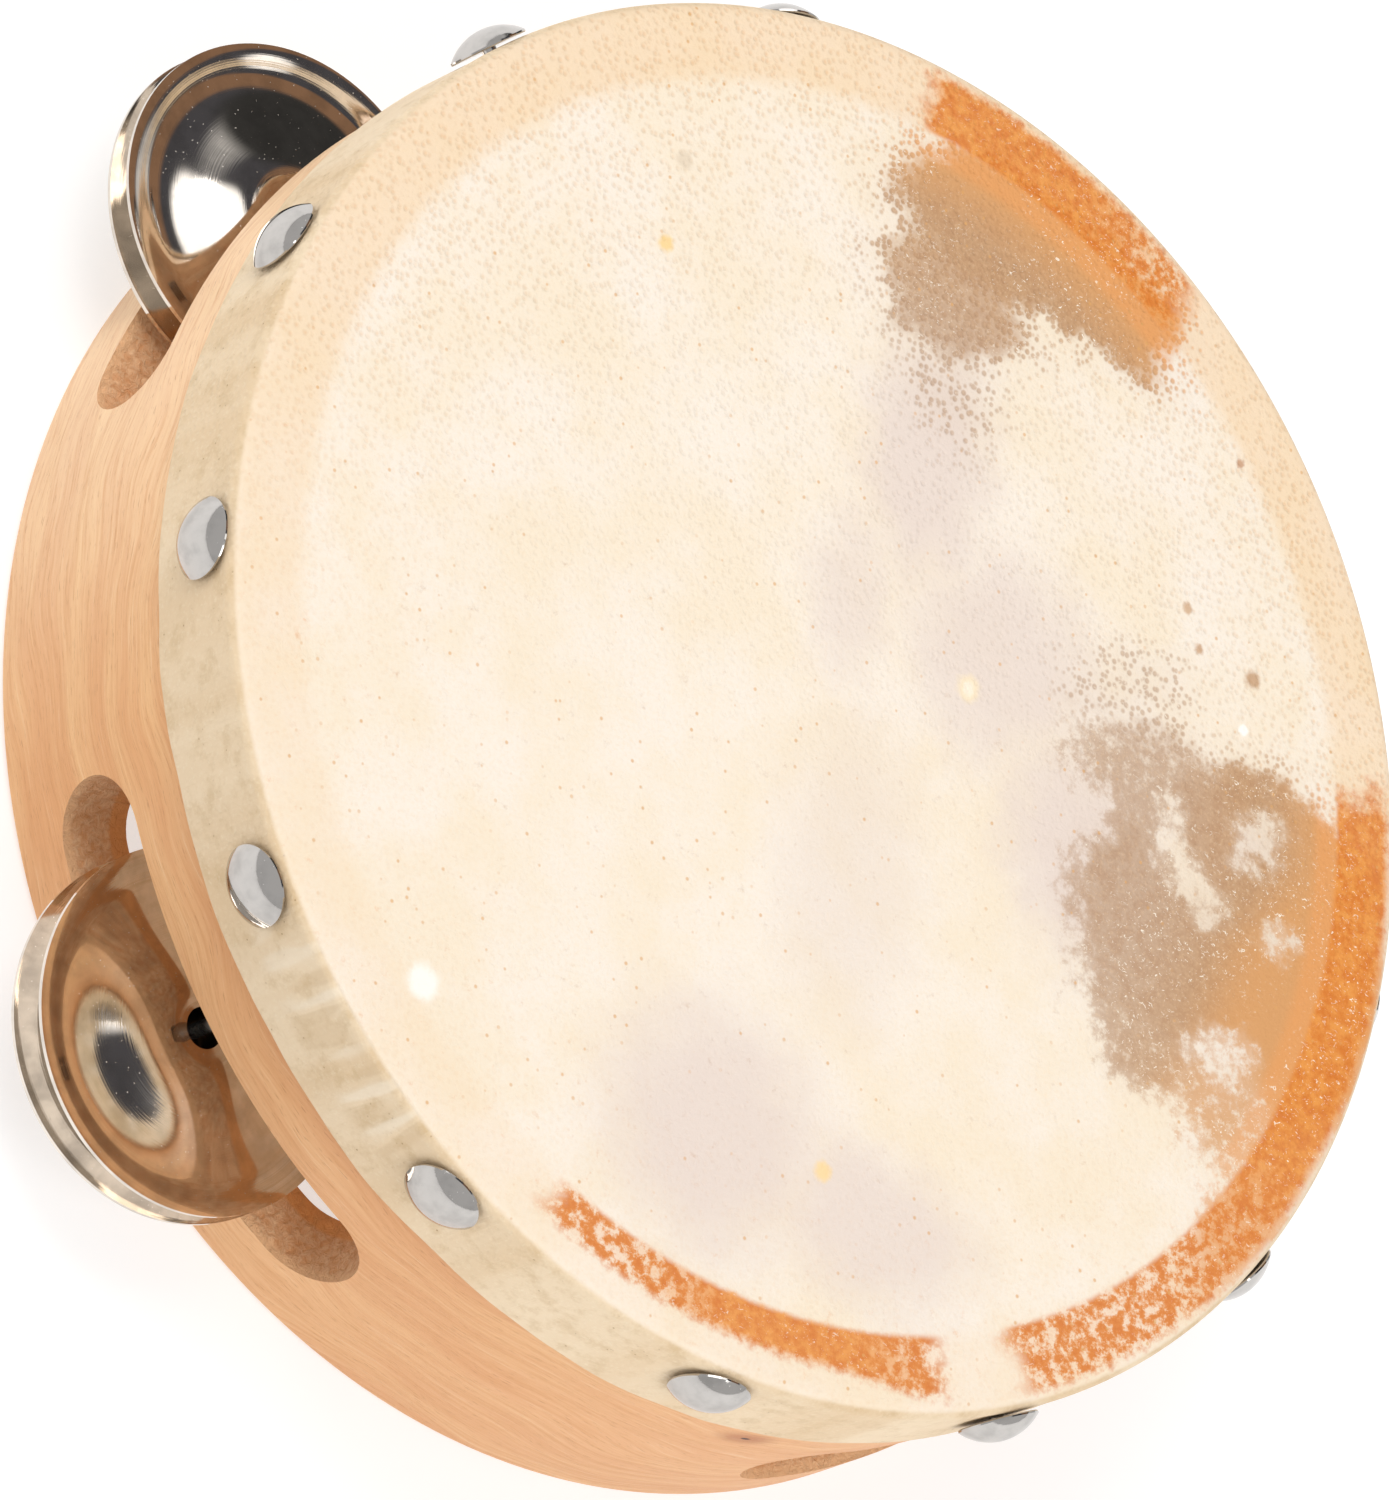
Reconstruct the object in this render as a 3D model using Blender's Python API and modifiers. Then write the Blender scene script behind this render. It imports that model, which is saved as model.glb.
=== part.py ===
"""Hand tambourine: a bent wooden hoop with a tacked skin head, three pairs of jingles and a grip slot.

Metres, +Z up. The tambourine lies on its open rear rim with the skin head on top. The origin is on
the hoop's axis, at the level of the rear rim.
"""

import math

import bmesh
import bpy
from mathutils import Matrix, Vector

MM = 0.001

# Wooden hoop
HOOP_RADIUS = 75.0 * MM
HOOP_WALL = 8.0 * MM
HOOP_HEIGHT = 42.4 * MM
HOOP_EDGE_ROUND = 1.0 * MM
HOOP_SEGMENTS = 72

# Slots through the hoop wall: angle of the middle and half the length, both in degrees on the
# outer face. The first three take the jingles and the last is the empty grip slot.
SLOTS = ((145.3, 23.0), (222.2, 22.5), (44.5, 22.5), (309.0, 23.0))
SLOT_BOTTOM = 8.0 * MM
SLOT_TOP = 21.0 * MM
SLOT_END_STEPS = 8
SLOT_SIDE_STEPS = 10

# Skin head, folded down over the hoop's front edge
SKIN_THICKNESS = 0.5 * MM
SKIN_BAND_HEIGHT = 13.0 * MM
SKIN_BEND_RADIUS = 1.4 * MM

# Dome headed tacks that hold the skin, as (angle, level in mm); they are set by hand, so they
# stand unevenly
TACKS = (
    (158.4, 38.0),
    (185.8, 38.7),
    (212.9, 38.4),
    (240.4, 38.8),
    (267.9, 38.8),
    (296.3, 38.6),
    (326.0, 38.0),
    (353.5, 37.3),
    (21.0, 36.8),
    (47.5, 36.6),
    (74.0, 36.8),
    (100.2, 37.8),
    (130.8, 38.5),
)
TACK_HEAD_RADIUS = 4.3 * MM
TACK_HEAD_HEIGHT = 2.2 * MM
TACK_SHANK_RADIUS = 0.8 * MM
TACK_SHANK_LENGTH = 6.5 * MM
TACK_SEGMENTS = 12

# Jingle pairs: pin angle round the hoop, then how the front and the rear disc lean, outward and
# sideways, all in degrees
JINGLE_PAIRS = (
    (142.3, (2.6, 0.0), (1.3, 0.0)),
    (221.5, (0.0, 2.6), (3.0, 0.0)),
    (44.5, (2.0, -1.0), (1.5, 1.0)),
)
FRONT_JINGLE_LEVEL = 13.8 * MM
REAR_JINGLE_LEVEL = 10.1 * MM
JINGLE_HANG_OUT = 0.3 * MM

# One jingle: a pressed disc like a saucer. Its rim falls into a ring shaped valley, and a wide
# dome rises from the valley to a slightly sunk hole
JINGLE_SHEET = 0.5 * MM
JINGLE_RADIUS = 19.2 * MM
JINGLE_VALLEY_RADIUS = 15.5 * MM
JINGLE_CROWN_RADIUS = 4.0 * MM
JINGLE_HOLE_RADIUS = 2.2 * MM
JINGLE_VALLEY_DEPTH = 0.7 * MM
JINGLE_DOME_HEIGHT = 2.1 * MM
JINGLE_DIMPLE_DEPTH = 0.15 * MM
JINGLE_RIM_STEPS = 4
JINGLE_DOME_STEPS = 7
JINGLE_SEGMENTS = 32

# Nails that carry the jingles, driven in from the rear rim
PIN_RADIUS = 0.8 * MM
PIN_TOP = 30.0 * MM
PIN_HEAD_RADIUS = 1.7 * MM
PIN_HEAD_BOTTOM = 0.4 * MM
PIN_HEAD_THICKNESS = 0.8 * MM
PIN_SEGMENTS = 12

# Gap kept between pieces that touch on the real instrument, and how far a cutter passes a face
GAP = 0.3 * MM
CUTTER_MARGIN = 2.0 * MM

WALL_MIDDLE = HOOP_RADIUS - HOOP_WALL / 2
SKIN_INNER_RADIUS = HOOP_RADIUS + GAP
SKIN_OUTER_RADIUS = SKIN_INNER_RADIUS + SKIN_THICKNESS
SKIN_UNDERSIDE = HOOP_HEIGHT + GAP
TOTAL_HEIGHT = SKIN_UNDERSIDE + SKIN_THICKNESS
SHARP_ANGLE = math.radians(40)


def clear_scene():
    for obj in list(bpy.data.objects):
        bpy.data.objects.remove(obj)


def make_collection(name):
    collection = bpy.data.collections.new(name)
    bpy.context.scene.collection.children.link(collection)
    return collection


def make_material(name, color, roughness, metallic=0.0):
    material = bpy.data.materials.new(name)
    material.use_nodes = True
    shader = material.node_tree.nodes["Principled BSDF"]
    shader.inputs["Base Color"].default_value = (*color, 1.0)
    shader.inputs["Roughness"].default_value = roughness
    shader.inputs["Metallic"].default_value = metallic
    return material


def around(angle, radius, height):
    """Point at an angle in degrees round the hoop's axis."""
    a = math.radians(angle)
    return Vector((radius * math.cos(a), radius * math.sin(a), height))


def mesh_object(name, bm, collection):
    mesh = bpy.data.meshes.new(name)
    bm.to_mesh(mesh)
    bm.free()
    obj = bpy.data.objects.new(name, mesh)
    collection.objects.link(obj)
    return obj


def turned(name, profile, segments, collection):
    """Turn an outline of (radius, height) points about Z; the outer side runs from top to bottom."""
    bm = bmesh.new()
    verts = [bm.verts.new((r, 0.0, z)) for r, z in profile]
    closed = profile[0][0] > 0.0
    pairs = list(zip(verts, verts[1:]))
    if closed:
        pairs.append((verts[-1], verts[0]))
    for start, end in pairs:
        bm.edges.new((start, end))
    obj = mesh_object(name, bm, collection)
    screw = obj.modifiers.new("Turn", "SCREW")
    screw.steps = segments
    screw.render_steps = segments
    screw.use_merge_vertices = True
    screw.merge_threshold = 0.00001
    return obj


def bake(obj):
    """Replace an object's mesh by its evaluated one, shaded smooth with sharp corners kept."""
    depsgraph = bpy.context.evaluated_depsgraph_get()
    mesh = bpy.data.meshes.new_from_object(obj.evaluated_get(depsgraph))
    mesh.name = obj.name
    obj.modifiers.clear()
    obj.data = mesh
    obj.data.shade_smooth()
    obj.data.set_sharp_from_angle(angle=SHARP_ANGLE)


def cut(obj, cutter):
    boolean = obj.modifiers.new(cutter.name, "BOOLEAN")
    boolean.operation = "DIFFERENCE"
    boolean.object = cutter


def as_cutter(obj):
    obj.hide_render = True
    obj.display_type = "WIRE"
    return obj


def arc(center, radius, start, end, steps):
    """Points on an arc in the (radius, height) plane, angles in degrees."""
    points = []
    for i in range(steps + 1):
        a = math.radians(start + (end - start) * i / steps)
        points.append((center[0] + radius * math.cos(a), center[1] + radius * math.sin(a)))
    return points


def cylinders(name, places, radius, depth, vertices, collection):
    """One cutter made of a cylinder at each place; a place is the matrix of its centre."""
    bm = bmesh.new()
    for place in places:
        bmesh.ops.create_cone(
            bm, cap_ends=True, segments=vertices, radius1=radius, radius2=radius, depth=depth, matrix=place
        )
    return as_cutter(mesh_object(name, bm, collection))


def slot_outline(half_angle):
    """Round ended slot on the unrolled outer face, as (distance round the hoop, height) points.

    The list starts at the bottom of one round end. Every point has a mirror point at the same
    distance, so the point at SLOT_END_STEPS / 2 is the slot's very end.
    """
    half_width = (SLOT_TOP - SLOT_BOTTOM) / 2
    middle = (SLOT_TOP + SLOT_BOTTOM) / 2
    reach = math.radians(half_angle) * HOOP_RADIUS - half_width
    along = [reach - 2 * reach * i / SLOT_SIDE_STEPS for i in range(1, SLOT_SIDE_STEPS)]
    outline = arc((reach, middle), half_width, -90, 90, SLOT_END_STEPS)
    outline += [(u, SLOT_TOP) for u in along]
    outline += arc((-reach, middle), half_width, 90, 270, SLOT_END_STEPS)
    outline += [(u, SLOT_BOTTOM) for u in reversed(along)]
    return outline


def slot_cutter(name, angle, half_angle, collection):
    """Slot bent round the hoop, its walls along the radius: a loft between two curved outlines."""
    inner = HOOP_RADIUS - HOOP_WALL - CUTTER_MARGIN
    outer = HOOP_RADIUS + CUTTER_MARGIN
    outline = slot_outline(half_angle)
    count = len(outline)
    first = SLOT_END_STEPS // 2
    bm = bmesh.new()
    rings = []
    for radius in (inner, outer):
        points = [around(angle + math.degrees(u / HOOP_RADIUS), radius, z) for u, z in outline]
        rings.append([bm.verts.new(point) for point in points])
    for i in range(count):
        j = (i + 1) % count
        bm.faces.new((rings[0][i], rings[0][j], rings[1][j], rings[1][i]))
    for ring in rings:
        for k in range(count // 2):
            up, next_up = (first + k) % count, (first + k + 1) % count
            down, next_down = (first - k) % count, (first - k - 1) % count
            corners = dict.fromkeys((up, next_up, next_down, down))
            bm.faces.new([ring[i] for i in corners])
    bmesh.ops.recalc_face_normals(bm, faces=bm.faces)
    return as_cutter(mesh_object(name, bm, collection))


def radial_place(angle, radius, height):
    """Matrix that lays local Z along the outward direction at an angle round the hoop."""
    turn = Matrix.Rotation(math.radians(angle), 4, "Z") @ Matrix.Rotation(math.radians(90), 4, "Y")
    return Matrix.Translation(around(angle, radius, height)) @ turn


def make_hoop(collection, cutters):
    inner = HOOP_RADIUS - HOOP_WALL
    e = HOOP_EDGE_ROUND
    profile = arc((HOOP_RADIUS - e, HOOP_HEIGHT - e), e, 90, 0, 1)
    profile += arc((HOOP_RADIUS - e, e), e, 0, -90, 1)
    profile += arc((inner + e, e), e, -90, -180, 1)
    profile += arc((inner + e, HOOP_HEIGHT - e), e, 180, 90, 1)
    hoop = turned("hoop", profile, HOOP_SEGMENTS, collection)
    for number, (angle, half_angle) in enumerate(SLOTS, start=1):
        cut(hoop, slot_cutter(f"slot_{number}", angle, half_angle, cutters))
    cut(hoop, tack_holes(cutters))
    for number, (angle, *_) in enumerate(JINGLE_PAIRS, start=1):
        cut(hoop, pin_hole(number, angle, cutters))
    bake(hoop)
    hoop.data.materials.append(make_material("beech_wood", (0.78, 0.50, 0.28), 0.55))
    return hoop


def tack_holes(cutters):
    """Blind holes from outside, 0.3 mm larger all round than the tack shanks."""
    outer = SKIN_OUTER_RADIUS + 2 * MM
    bottom = SKIN_OUTER_RADIUS + GAP - TACK_SHANK_LENGTH - GAP
    middle = (outer + bottom) / 2
    places = [radial_place(angle, middle, level * MM) for angle, level in TACKS]
    return cylinders("tack_holes", places, TACK_SHANK_RADIUS + GAP, outer - bottom, 8, cutters)


def pin_hole(number, angle, cutters):
    """Stepped hole for a jingle nail: through the rear strip, with its head sunk, into the front strip."""
    shank = PIN_RADIUS + GAP
    head = PIN_HEAD_RADIUS + GAP
    seat = PIN_HEAD_BOTTOM + PIN_HEAD_THICKNESS + GAP
    top = PIN_TOP + GAP
    bottom = -CUTTER_MARGIN
    profile = [(0.0, top), (shank, top), (shank, seat), (head, seat), (head, bottom), (0.0, bottom)]
    hole = turned(f"pin_hole_{number}", profile, PIN_SEGMENTS, cutters)
    hole.location = around(angle, WALL_MIDDLE, 0.0)
    return as_cutter(hole)


def make_skin_head(collection, cutters):
    """Cup of skin: flat playing face, a rounded bend and a band down the hoop's side."""
    outer_bend = SKIN_BEND_RADIUS
    inner_bend = SKIN_BEND_RADIUS - SKIN_THICKNESS
    band_edge = TOTAL_HEIGHT - SKIN_BAND_HEIGHT
    centre = (SKIN_OUTER_RADIUS - outer_bend, TOTAL_HEIGHT - outer_bend)
    profile = [(0.0, TOTAL_HEIGHT)]
    profile += arc(centre, outer_bend, 90, 0, 3)
    profile += [(SKIN_OUTER_RADIUS, band_edge), (SKIN_INNER_RADIUS, band_edge)]
    profile += arc(centre, inner_bend, 0, 90, 3)
    profile += [(0.0, SKIN_UNDERSIDE)]
    skin = turned("skin_head", profile, HOOP_SEGMENTS, collection)
    places = [radial_place(angle, SKIN_OUTER_RADIUS, level * MM) for angle, level in TACKS]
    cut(skin, cylinders("skin_holes", places, TACK_SHANK_RADIUS + GAP, 4 * MM, 8, cutters))
    bake(skin)
    skin.data.materials.append(make_material("rawhide", (0.93, 0.84, 0.68), 0.6))
    return skin


def make_tacks(collection):
    """Dome headed tacks: the dome is a cap of a sphere, its underside flat, with a pointed shank."""
    height = TACK_HEAD_HEIGHT
    edge = 0.35 * MM
    cap = height - edge
    sphere = (TACK_HEAD_RADIUS**2 + cap**2) / (2 * cap)
    opening = math.degrees(math.asin(TACK_HEAD_RADIUS / sphere))
    profile = arc((0.0, height - sphere), sphere, 90, 90 - opening, 3)
    profile[0] = (0.0, height)
    profile += [(TACK_HEAD_RADIUS, 0.0), (TACK_SHANK_RADIUS, 0.0)]
    profile += [(TACK_SHANK_RADIUS, -TACK_SHANK_LENGTH + 2 * MM), (0.0, -TACK_SHANK_LENGTH)]
    pattern = turned("tack_pattern", profile, TACK_SEGMENTS, collection)
    bake(pattern)
    pattern.data.materials.append(make_material("nickel_tack", (0.72, 0.71, 0.70), 0.15, 1.0))
    for number, (angle, level) in enumerate(TACKS, start=1):
        tack = bpy.data.objects.new(f"tack_{number:02d}", pattern.data)
        collection.objects.link(tack)
        tack.matrix_world = radial_place(angle, SKIN_OUTER_RADIUS + GAP, level * MM)
    bpy.data.objects.remove(pattern)


def smooth_rise(start, end, radius):
    """0 at the start radius, 1 at the end radius and past it, level at both."""
    t = min(max((start - radius) / (start - end), 0.0), 1.0)
    return t * t * (3.0 - 2.0 * t)


def jingle_surface(radius):
    """Height of the pressed sheet's middle above the rim, from the rim in to the hole."""
    valley = JINGLE_VALLEY_DEPTH * smooth_rise(JINGLE_RADIUS, JINGLE_VALLEY_RADIUS, radius)
    dome = JINGLE_DOME_HEIGHT * smooth_rise(JINGLE_VALLEY_RADIUS, JINGLE_CROWN_RADIUS, radius)
    dimple = JINGLE_DIMPLE_DEPTH * smooth_rise(JINGLE_CROWN_RADIUS, JINGLE_HOLE_RADIUS, radius)
    return dome - valley - dimple


def spaced(start, end, steps):
    return [start + (end - start) * i / steps for i in range(steps)]


def jingle_profile():
    radii = spaced(JINGLE_RADIUS, JINGLE_VALLEY_RADIUS, JINGLE_RIM_STEPS)
    radii += spaced(JINGLE_VALLEY_RADIUS, JINGLE_CROWN_RADIUS, JINGLE_DOME_STEPS)
    radii += [JINGLE_CROWN_RADIUS, JINGLE_HOLE_RADIUS]
    half = JINGLE_SHEET / 2
    upper = [(r, jingle_surface(r) + half) for r in reversed(radii)]
    lower = [(r, jingle_surface(r) - half) for r in radii]
    return upper + lower


def make_jingles(collection):
    """Two discs on each nail, their domes facing away from each other."""
    pattern = turned("jingle_pattern", jingle_profile(), JINGLE_SEGMENTS, collection)
    bake(pattern)
    pattern.data.materials.append(make_material("nickel_plate", (0.66, 0.63, 0.60), 0.16, 1.0))
    for number, (angle, front_lean, rear_lean) in enumerate(JINGLE_PAIRS, start=1):
        kinds = (
            ("front", FRONT_JINGLE_LEVEL, front_lean, 0.0),
            ("rear", REAR_JINGLE_LEVEL, rear_lean, 180.0),
        )
        for kind, level, (outward, sideways), flip in kinds:
            jingle = bpy.data.objects.new(f"jingle_{number}_{kind}", pattern.data)
            collection.objects.link(jingle)
            turn = Matrix.Rotation(math.radians(angle), 4, "Z")
            lean = Matrix.Rotation(math.radians(-sideways), 4, "X") @ Matrix.Rotation(
                math.radians(outward), 4, "Y"
            )
            over = Matrix.Rotation(math.radians(flip), 4, "Y")
            place = Matrix.Translation(around(angle, WALL_MIDDLE + JINGLE_HANG_OUT, level))
            jingle.matrix_world = place @ turn @ lean @ over
    bpy.data.objects.remove(pattern)


def make_pins(collection):
    """Flat headed nails, driven from the rear rim across the slot into the front strip."""
    head_top = PIN_HEAD_BOTTOM + PIN_HEAD_THICKNESS
    point = 2.0 * MM
    profile = [(0.0, PIN_TOP), (PIN_RADIUS, PIN_TOP - point), (PIN_RADIUS, head_top)]
    profile += [(PIN_HEAD_RADIUS, head_top), (PIN_HEAD_RADIUS, PIN_HEAD_BOTTOM), (0.0, PIN_HEAD_BOTTOM)]
    pattern = turned("pin_pattern", profile, PIN_SEGMENTS, collection)
    bake(pattern)
    pattern.data.materials.append(make_material("steel_nail", (0.55, 0.54, 0.52), 0.3, 1.0))
    for number, (angle, *_) in enumerate(JINGLE_PAIRS, start=1):
        pin = bpy.data.objects.new(f"jingle_pin_{number}", pattern.data)
        collection.objects.link(pin)
        pin.location = around(angle, WALL_MIDDLE, 0.0)
    bpy.data.objects.remove(pattern)


def main():
    clear_scene()
    parts = make_collection("tambourine")
    cutters = make_collection("cutters")
    make_hoop(parts, cutters)
    make_skin_head(parts, cutters)
    make_tacks(parts)
    make_jingles(parts)
    make_pins(parts)


main()
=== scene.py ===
"""Looks of the hand tambourine: wood, skin, tacks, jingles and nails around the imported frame.

The frame is in metres with +Z up. Materials work in millimetres, in each piece's own coordinates.
"""

import math

import bmesh
import bpy
from mathutils import Matrix, Quaternion, Vector, noise


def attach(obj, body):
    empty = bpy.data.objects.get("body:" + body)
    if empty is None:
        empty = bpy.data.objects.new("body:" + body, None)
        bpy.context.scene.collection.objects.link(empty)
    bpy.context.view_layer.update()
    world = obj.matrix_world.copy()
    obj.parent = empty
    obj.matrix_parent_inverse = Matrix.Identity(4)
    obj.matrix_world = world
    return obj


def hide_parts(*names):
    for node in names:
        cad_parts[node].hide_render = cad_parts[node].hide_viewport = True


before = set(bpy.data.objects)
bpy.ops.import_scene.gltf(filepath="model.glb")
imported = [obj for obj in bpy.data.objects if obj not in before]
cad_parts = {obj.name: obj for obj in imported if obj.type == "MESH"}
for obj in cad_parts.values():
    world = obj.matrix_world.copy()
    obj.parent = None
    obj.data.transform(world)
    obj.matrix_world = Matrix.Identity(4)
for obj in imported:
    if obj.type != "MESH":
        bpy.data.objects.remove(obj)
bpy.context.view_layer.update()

MM = 0.001

# Hoop, as in the part
HOOP_RADIUS = 75.0 * MM
HOOP_WALL = 8.0 * MM
HOOP_HEIGHT = 42.4 * MM
HOOP_EDGE_ROUND = 0.9 * MM
HOOP_SEGMENTS = 240
WALL_MIDDLE = HOOP_RADIUS - HOOP_WALL / 2

# Wood: how far the grain sways in mm, and the knot's place
GRAIN_SWAY = 22.0
KNOT_ANGLE = 279.0
KNOT_LEVEL = 25.5 * MM

# Slots: angle of the middle and half the length in degrees; the last is the empty grip slot
SLOTS = ((145.3, 23.0), (222.2, 22.5), (44.5, 22.5), (309.0, 23.0))
SLOT_BOTTOM = 8.0 * MM
SLOT_TOP = 21.0 * MM
SLOT_END_STEPS = 20
SLOT_SIDE_STEPS = 24
SLOT_CUT_MARGIN = 2.0 * MM

# Skin head
SKIN_THICKNESS = 0.5 * MM
SKIN_RADIUS = 75.8 * MM
SKIN_TOP = 43.2 * MM
SKIN_BAND_HEIGHT = 13.0 * MM
SKIN_BEND_RADIUS = 1.4 * MM
SKIN_SEGMENTS = 300
SKIN_FACE_RINGS = 34
SKIN_BAND_RINGS = 16

# Upright wrinkles in its band: their angles, height, and width in degrees
WRINKLES = (205.0, 219.5, 222.8, 226.2, 229.0, 232.5, 247.5, 171.0)
WRINKLE_HEIGHT = 0.45 * MM
WRINKLE_WIDTH = 0.8

# Small ripples in the band, and the dents that the tacks press into it
RIPPLE_HEIGHT = 0.1 * MM
TACK_DENT_DEPTH = 0.14 * MM
TACK_DENT_RADIUS = 5.5 * MM

# Tacks as (angle, level in mm)
TACKS = (
    (158.4, 38.0),
    (185.8, 38.7),
    (212.9, 38.4),
    (240.4, 38.8),
    (267.9, 38.8),
    (296.3, 38.6),
    (326.0, 38.0),
    (353.5, 37.3),
    (21.0, 36.8),
    (47.5, 36.6),
    (74.0, 36.8),
    (100.2, 37.8),
    (130.8, 38.5),
)
TACK_HEAD_RADIUS = 4.3 * MM
TACK_HEAD_HEIGHT = 2.2 * MM
TACK_SHANK_RADIUS = 0.8 * MM
TACK_SHANK_LENGTH = 6.5 * MM
TACK_LIP = 0.3 * MM
TACK_HAMMER_MARKS = 0.045 * MM
TACK_GAP = 0.3 * MM

# Jingles: pin angle, then how the front and the rear disc lean, outward and sideways, in degrees
JINGLE_PAIRS = (
    (142.3, (2.6, 0.0), (1.3, 0.0)),
    (221.5, (0.0, 2.6), (3.0, 0.0)),
    (44.5, (2.0, -1.0), (1.5, 1.0)),
)
FRONT_JINGLE_LEVEL = 13.8 * MM
REAR_JINGLE_LEVEL = 10.1 * MM
JINGLE_HANG_OUT = 0.3 * MM
JINGLE_SHEET = 0.5 * MM
JINGLE_RADIUS = 19.2 * MM
JINGLE_VALLEY_RADIUS = 15.5 * MM
JINGLE_CROWN_RADIUS = 4.0 * MM
JINGLE_HOLE_RADIUS = 2.2 * MM
JINGLE_VALLEY_DEPTH = 0.7 * MM
JINGLE_DOME_HEIGHT = 2.1 * MM
JINGLE_DIMPLE_DEPTH = 0.15 * MM
JINGLE_SEGMENTS = 144
JINGLE_PROFILE_STEPS = 56

# Nails
PIN_RADIUS = 0.8 * MM
PIN_TOP = 30.0 * MM
PIN_HEAD_RADIUS = 1.7 * MM
PIN_HEAD_BOTTOM = 0.4 * MM
PIN_HEAD_THICKNESS = 0.8 * MM
PIN_TIP_LENGTH = 2.0 * MM
PIN_HEAD_BEVEL = 0.2 * MM
PIN_SIDE_PLAY = 0.1 * MM
PIN_HEAD_PLAY = 0.3 * MM
PIN_SEAT_PLAY = 0.05 * MM
PIN_TIP_PLAY = 0.3 * MM


# ---------------------------------------------------------------- small tools


def around(angle, radius, height):
    """Point at an angle in degrees round the hoop's axis."""
    a = math.radians(angle)
    return Vector((radius * math.cos(a), radius * math.sin(a), height))


def link(obj):
    bpy.context.scene.collection.objects.link(obj)
    return obj


def mesh_object(name, bm):
    mesh = bpy.data.meshes.new(name)
    bm.to_mesh(mesh)
    bm.free()
    return link(bpy.data.objects.new(name, mesh))


def arc(center, radius, start, end, steps):
    """Points on an arc in the (radius, height) plane, angles in degrees."""
    points = []
    for i in range(steps + 1):
        a = math.radians(start + (end - start) * i / steps)
        points.append((center[0] + radius * math.cos(a), center[1] + radius * math.sin(a)))
    return points


def turned(name, profile, segments):
    """Turn an outline of (radius, height) points about Z; its outer side runs downward."""
    bm = bmesh.new()
    verts = [bm.verts.new((r, 0.0, z)) for r, z in profile]
    pairs = list(zip(verts, verts[1:]))
    if profile[0][0] > 0.0:
        pairs.append((verts[-1], verts[0]))
    for start, end in pairs:
        bm.edges.new((start, end))
    obj = mesh_object(name, bm)
    screw = obj.modifiers.new("Turn", "SCREW")
    screw.steps = segments
    screw.render_steps = segments
    screw.use_merge_vertices = True
    screw.merge_threshold = 0.000001
    return obj


def bake(obj, sharp=35.0):
    """Replace an object's mesh by its evaluated one, shaded smooth with sharp corners kept."""
    depsgraph = bpy.context.evaluated_depsgraph_get()
    mesh = bpy.data.meshes.new_from_object(obj.evaluated_get(depsgraph))
    mesh.name = obj.name
    obj.modifiers.clear()
    obj.data = mesh
    mesh.shade_smooth()
    mesh.set_sharp_from_angle(angle=math.radians(sharp))


def cut(obj, cutter):
    boolean = obj.modifiers.new(cutter.name, "BOOLEAN")
    boolean.operation = "DIFFERENCE"
    boolean.object = cutter


def smooth_rise(start, end, x):
    """0 at start, 1 at end and past it, level at both."""
    t = min(max((x - start) / (end - start), 0.0), 1.0)
    return t * t * (3.0 - 2.0 * t)


# ---------------------------------------------------------------- material tools


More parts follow.
